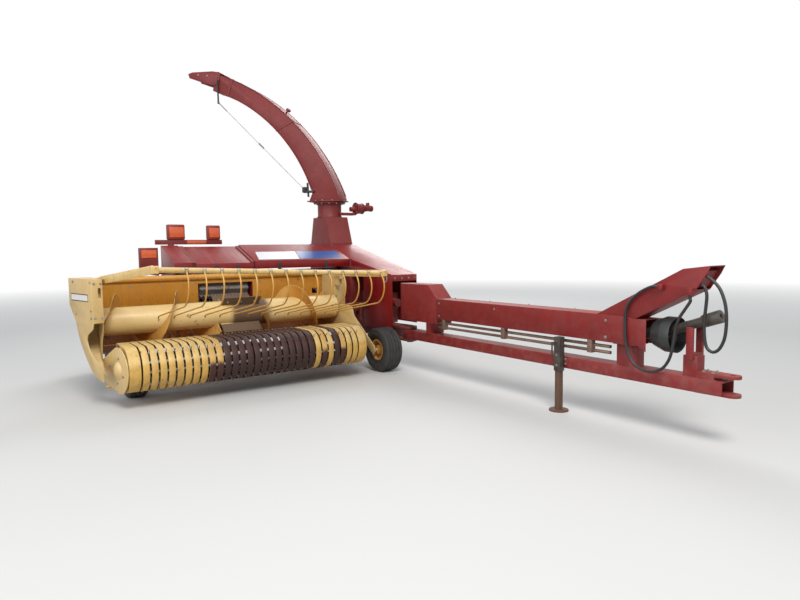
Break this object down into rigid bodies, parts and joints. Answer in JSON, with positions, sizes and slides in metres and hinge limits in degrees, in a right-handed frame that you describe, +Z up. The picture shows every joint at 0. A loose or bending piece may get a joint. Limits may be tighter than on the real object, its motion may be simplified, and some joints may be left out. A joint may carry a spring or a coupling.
{
  "type": "forage harvester",
  "caption": "Towed forage harvester with a windrow pickup header, cross auger, swing drawbar on a jack and a curved turning discharge spout.",
  "frame": {"origin": "middle of the machine's overall box, on the ground", "axes": "+X is the direction of travel, towards the drawbar's hitch; +Y is the machine's left; +Z is up"},
  "size_m": [6.7444, 3.709, 3.6163],
  "materials": {
    "red_paint": "satin, faded",
    "dark_red_paint": "satin, faded",
    "yellow_paint": "satin, worn",
    "rusty_steel": "rusty",
    "bare_steel": "dull",
    "tyre_rubber": "matte",
    "black_paint": "satin",
    "black_rubber": "matte",
    "amber_lens": "gloss"
  },
  "bodies": {
    "base": {"main_frame": "dark_red_paint", "axle": "dark_red_paint", "cutterhead_housing": "dark_red_paint", "feed_housing": "dark_red_paint", "blower_housing": "dark_red_paint", "turret_collar": "dark_red_paint", "hood_left": "red_paint", "hood_centre": "red_paint", "hood_right": "red_paint", "side_shield": "red_paint", "light_bar": "dark_red_paint", "lamps": "amber_lens", "gearbox": "dark_red_paint"},
    "main_wheel_left": {"main_tyre_left": "tyre_rubber", "main_rim_left": "yellow_paint"},
    "main_wheel_right": {"main_tyre_right": "tyre_rubber", "main_rim_right": "yellow_paint"},
    "feed_roll_upper": {"feed_roll_upper": "bare_steel"},
    "feed_roll_lower": {"feed_roll_lower": "bare_steel"},
    "spout": {"spout": "dark_red_paint"},
    "deflector": {"deflector": "dark_red_paint"},
    "drawbar": {"drawbar": "red_paint", "pivot_box": "red_paint", "driveline_shield": "red_paint", "shield_arm": "red_paint", "jack_post": "black_paint", "pto_guard": "black_paint", "steel_tubes": "bare_steel", "hose_left": "black_rubber", "hose_right": "black_rubber"},
    "jack_leg": {"jack_leg": "rusty_steel"},
    "pto_shaft": {"pto_shaft": "bare_steel"},
    "header": {"header_back": "yellow_paint", "header_trough": "yellow_paint", "end_column_right": "yellow_paint", "end_column_left": "yellow_paint", "strippers": "yellow_paint", "gauge_arms": "yellow_paint"},
    "auger": {"auger_tube": "yellow_paint", "auger_flights": "yellow_paint"},
    "tine_reel": {"tine_reel": "rusty_steel"},
    "windguard": {"windguard": "yellow_paint", "guard_rods": "yellow_paint"},
    "gauge_wheel_left": {"gauge_tyre_left": "tyre_rubber", "gauge_rim_left": "yellow_paint"},
    "gauge_wheel_right": {"gauge_tyre_right": "tyre_rubber", "gauge_rim_right": "yellow_paint"}
  },
  "joints": [
    {"name": "main_wheel_left_spin", "type": "hinge", "parent": "base", "child": "main_wheel_left", "pos_m": [-1.74783, 0.82448, 0.406], "axis": [0, 1, 0], "continuous": true},
    {"name": "main_wheel_right_spin", "type": "hinge", "parent": "base", "child": "main_wheel_right", "pos_m": [-1.74783, -1.23552, 0.406], "axis": [0, 1, 0], "continuous": true},
    {"name": "feed_roll_upper_spin", "type": "hinge", "parent": "base", "child": "feed_roll_upper", "pos_m": [-0.99583, -0.43552, 0.892], "axis": [0, 1, 0], "continuous": true},
    {"name": "feed_roll_lower_spin", "type": "hinge", "parent": "base", "child": "feed_roll_lower", "pos_m": [-0.99583, -0.43552, 0.676], "axis": [0, 1, 0], "continuous": true},
    {"name": "spout_turn", "type": "hinge", "parent": "base", "child": "spout", "pos_m": [-1.83783, 1.29948, 1.85], "axis": [0, 0, 1], "range_deg": [-120, 50]},
    {"name": "deflector_tilt", "type": "hinge", "parent": "spout", "child": "deflector", "pos_m": [-2.95343, 0.36338, 3.52731], "axis": [0.6428, -0.766, 0], "range_deg": [0, 45]},
    {"name": "drawbar_swing", "type": "hinge", "parent": "base", "child": "drawbar", "pos_m": [-0.04783, 1.24948, 0.38], "axis": [0, 0, 1], "range_deg": [-12, 12]},
    {"name": "jack_extend", "type": "slide", "parent": "drawbar", "child": "jack_leg", "axis": [0, 0, 1], "range_m": [0, 0.18]},
    {"name": "pto_shaft_spin", "type": "hinge", "parent": "drawbar", "child": "pto_shaft", "pos_m": [2.88717, 1.24948, 0.697], "axis": [0.9397, 0, 0.342], "continuous": true},
    {"name": "header_lift", "type": "hinge", "parent": "base", "child": "header", "pos_m": [-0.97383, -0.47552, 1.008], "axis": [0, -1, 0], "range_deg": [0, 10]},
    {"name": "auger_spin", "type": "hinge", "parent": "header", "child": "auger", "pos_m": [-0.59783, -0.47552, 0.672], "axis": [0, 1, 0], "continuous": true},
    {"name": "tine_reel_spin", "type": "hinge", "parent": "header", "child": "tine_reel", "pos_m": [-0.09783, -0.47552, 0.323], "axis": [0, 1, 0], "continuous": true},
    {"name": "windguard_lift", "type": "hinge", "parent": "header", "child": "windguard", "pos_m": [-0.51783, -0.47552, 1.026], "axis": [0, -1, 0], "range_deg": [0, 35]},
    {"name": "gauge_wheel_left_spin", "type": "hinge", "parent": "header", "child": "gauge_wheel_left", "pos_m": [-0.13783, 0.96448, 0.2285], "axis": [0, 1, 0], "continuous": true},
    {"name": "gauge_wheel_right_spin", "type": "hinge", "parent": "header", "child": "gauge_wheel_right", "pos_m": [-0.52783, -1.40552, 0.19], "axis": [0, 1, 0], "continuous": true}
  ],
  "couplings": [
    {"joint": "feed_roll_lower_spin", "follows": "feed_roll_upper_spin", "ratio": -1}
  ]
}
